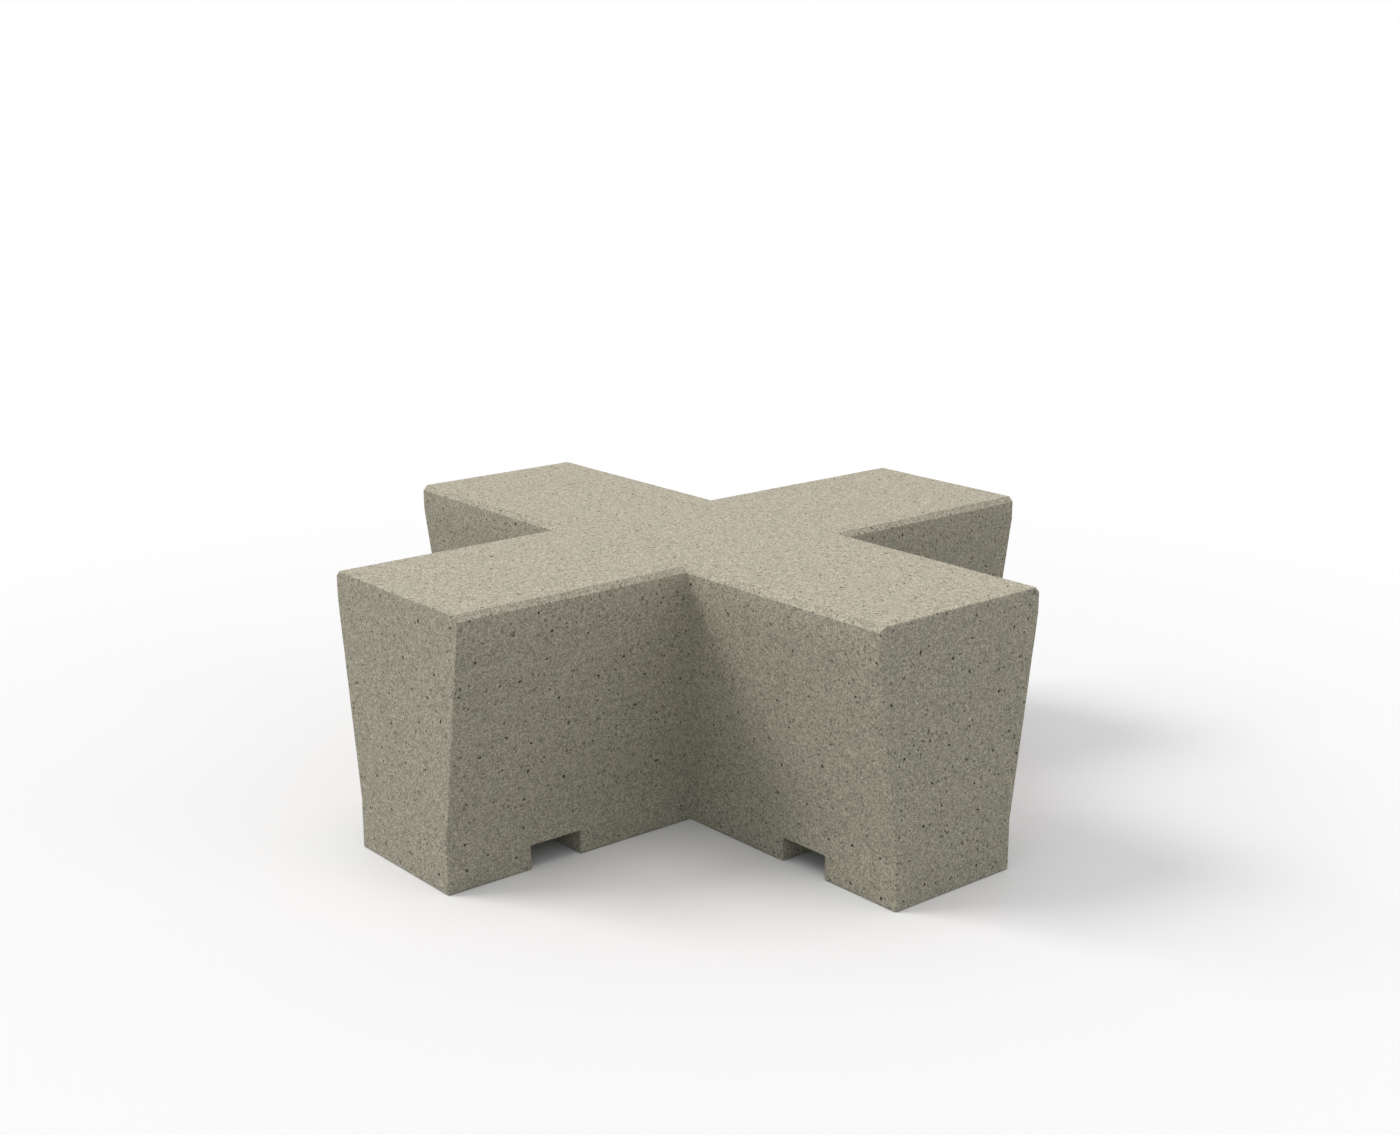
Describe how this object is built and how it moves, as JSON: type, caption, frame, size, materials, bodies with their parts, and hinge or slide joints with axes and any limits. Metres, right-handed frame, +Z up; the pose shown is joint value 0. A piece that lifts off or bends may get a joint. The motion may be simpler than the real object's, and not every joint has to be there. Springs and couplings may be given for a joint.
{
  "type": "cross-shaped concrete barrier block",
  "caption": "Free-standing precast concrete barrier block with arms in a cross, battered sides, chamfered top edges, fork slots at the foot and a cast-in steel bar cage.",
  "frame": {"origin": "centre of the underside", "axes": "+Z up, arms along +X, +Y, -X and -Y"},
  "size_m": [1.6, 1.6, 0.6],
  "materials": {
    "concrete": "fine sandblasted cast concrete",
    "steel": "hot-rolled with mill scale and light rust",
    "mortar": "plain cement mortar"
  },
  "bodies": {
    "root": {"concrete_body": "concrete", "bottom_bar_x_front": "steel", "bottom_bar_x_back": "steel", "bottom_bar_y_right": "steel", "bottom_bar_y_left": "steel", "top_bar_x_front": "steel", "top_bar_x_back": "steel", "top_bar_y_right": "steel", "top_bar_y_left": "steel", "link_right_1": "steel", "link_right_2": "steel", "link_right_3": "steel", "link_right_4": "steel", "link_back_1": "steel", "link_back_2": "steel", "link_back_3": "steel", "link_back_4": "steel", "link_left_1": "steel", "link_left_2": "steel", "link_left_3": "steel", "link_left_4": "steel", "link_front_1": "steel", "link_front_2": "steel", "link_front_3": "steel", "link_front_4": "steel", "end_hairpin_right": "steel", "end_hairpin_back": "steel", "end_hairpin_left": "steel", "end_hairpin_front": "steel", "corner_bar_bottom_right_back": "steel", "corner_bar_bottom_back_left": "steel", "corner_bar_bottom_left_front": "steel", "corner_bar_bottom_front_right": "steel", "corner_bar_top_right_back": "steel", "corner_bar_top_back_left": "steel", "corner_bar_top_left_front": "steel", "corner_bar_top_front_right": "steel", "cover_block_right_front": "mortar", "cover_block_right_back": "mortar", "cover_block_back_right": "mortar", "cover_block_back_left": "mortar", "cover_block_left_front": "mortar", "cover_block_left_back": "mortar", "cover_block_front_right": "mortar", "cover_block_front_left": "mortar"}
  },
  "joints": []
}
